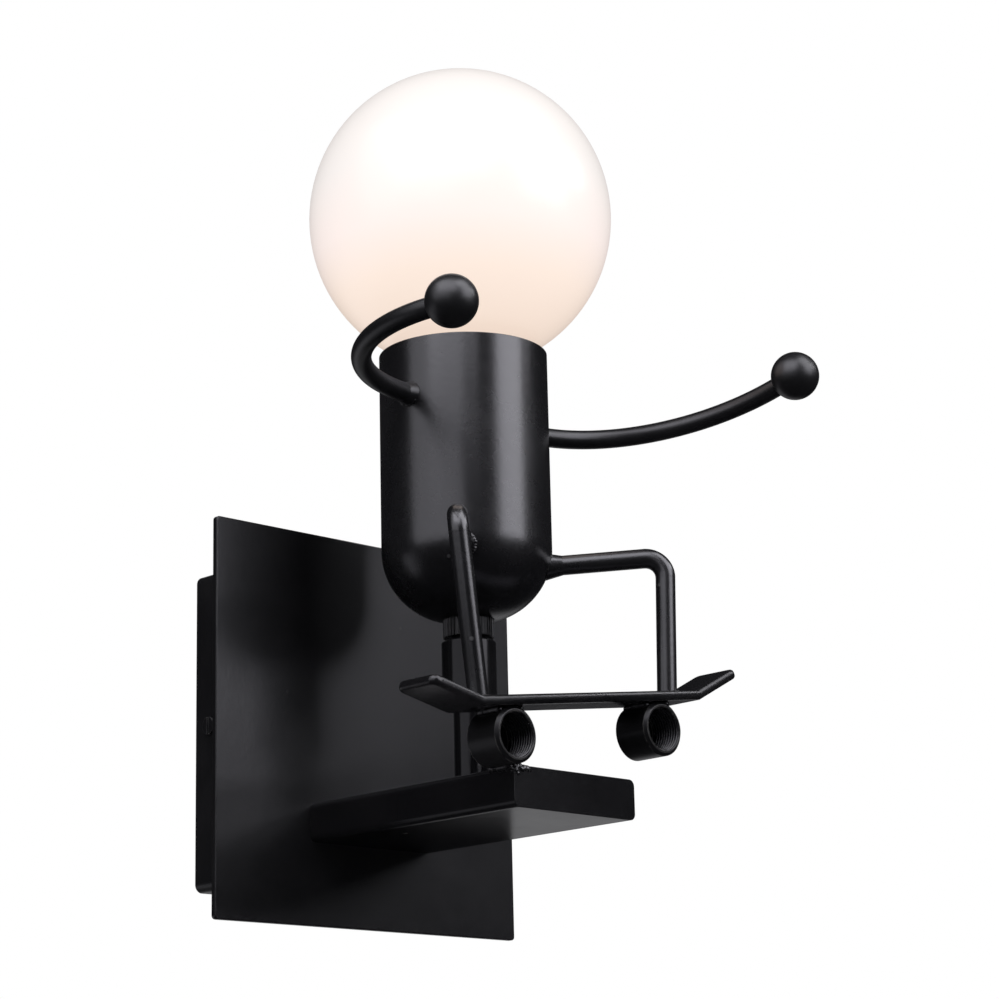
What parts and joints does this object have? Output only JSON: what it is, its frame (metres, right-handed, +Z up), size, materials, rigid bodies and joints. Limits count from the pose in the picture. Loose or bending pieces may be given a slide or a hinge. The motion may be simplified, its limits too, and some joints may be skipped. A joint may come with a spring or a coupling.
{
  "type": "wall sconce",
  "caption": "Black metal wall sconce: a bent-rod figure with a cup body and a globe bulb for a head, riding a tilted board with wheels above a small wall-mounted shelf.",
  "frame": {"origin": "middle of the wall bracket's back face, on the wall", "axes": "+Z up, +Y into the wall, +X to the right as seen from the room"},
  "size_m": [0.1661, 0.1458, 0.2658],
  "materials": {
    "black_paint": "satin black paint",
    "zinc_steel": "zinc-plated steel",
    "brass": "plain brass",
    "porcelain": "glazed white porcelain",
    "cream_plastic": "moulded plastic",
    "opal_glass": "opal white glass, lit",
    "white_plastic": "white moulded plastic",
    "led_board": "white coated board with yellow chips",
    "dark_insulator": "black glass insulator",
    "brown_lead": "brown insulation",
    "blue_lead": "blue insulation"
  },
  "bodies": {
    "lamp_frame": {"wall_bracket": "zinc_steel", "canopy": "black_paint", "canopy_screws": "black_paint", "backplate": "black_paint", "terminal_block": "cream_plastic", "terminal_screws": "brass", "earth_screw": "brass", "shelf": "black_paint", "stem_tube": "black_paint", "shelf_nut": "zinc_steel", "stem_collar": "black_paint", "barrel": "black_paint", "cup": "black_paint", "cup_washer": "zinc_steel", "cup_nut": "zinc_steel", "holder_bracket": "zinc_steel", "holder_nut": "zinc_steel", "holder_screws": "zinc_steel", "holder_body": "porcelain", "screw_shell": "brass", "holder_terminals": "brass", "live_lead": "brown_lead", "neutral_lead": "blue_lead", "left_arm": "black_paint", "right_arm": "black_paint", "left_hand": "black_paint", "right_hand": "black_paint", "left_leg": "black_paint", "right_leg": "black_paint", "deck": "black_paint", "left_wheel": "black_paint", "right_wheel": "black_paint", "wheel_welds": "black_paint", "shelf_weld": "black_paint"},
    "ring": {"knurled_ring": "black_paint"},
    "contact": {"centre_contact": "brass", "contact_spring": "zinc_steel"},
    "bulb_lift": {"bulb_tip": "zinc_steel"},
    "bulb": {"bulb_globe": "opal_glass", "bulb_neck": "white_plastic", "bulb_led_board": "led_board", "bulb_cap": "zinc_steel", "bulb_insulator": "dark_insulator"}
  },
  "joints": [
    {"name": "bulb_rise", "type": "slide", "parent": "lamp_frame", "child": "bulb_lift", "axis": [0, 0, 1], "range_m": [0, 0.0146]},
    {"name": "bulb_turn", "type": "hinge", "parent": "bulb_lift", "child": "bulb", "pos_m": [0, -0.0705, 0.08], "axis": [0, 0, 1], "range_deg": [0, 1440]},
    {"name": "contact_press", "type": "slide", "parent": "lamp_frame", "child": "contact", "axis": [0, 0, -1], "range_m": [0, 0.0012], "stiffness_N_per_m": 2000, "deforming": ["contact_spring"]},
    {"name": "ring_turn", "type": "hinge", "parent": "lamp_frame", "child": "ring", "pos_m": [0, -0.0705, 0.0257], "axis": [0, 0, 1], "range_deg": [-300, 0]}
  ],
  "couplings": [
    {"joint": "bulb_rise", "follows": "bulb_turn", "m_per_rad": 0.00057751}
  ]
}
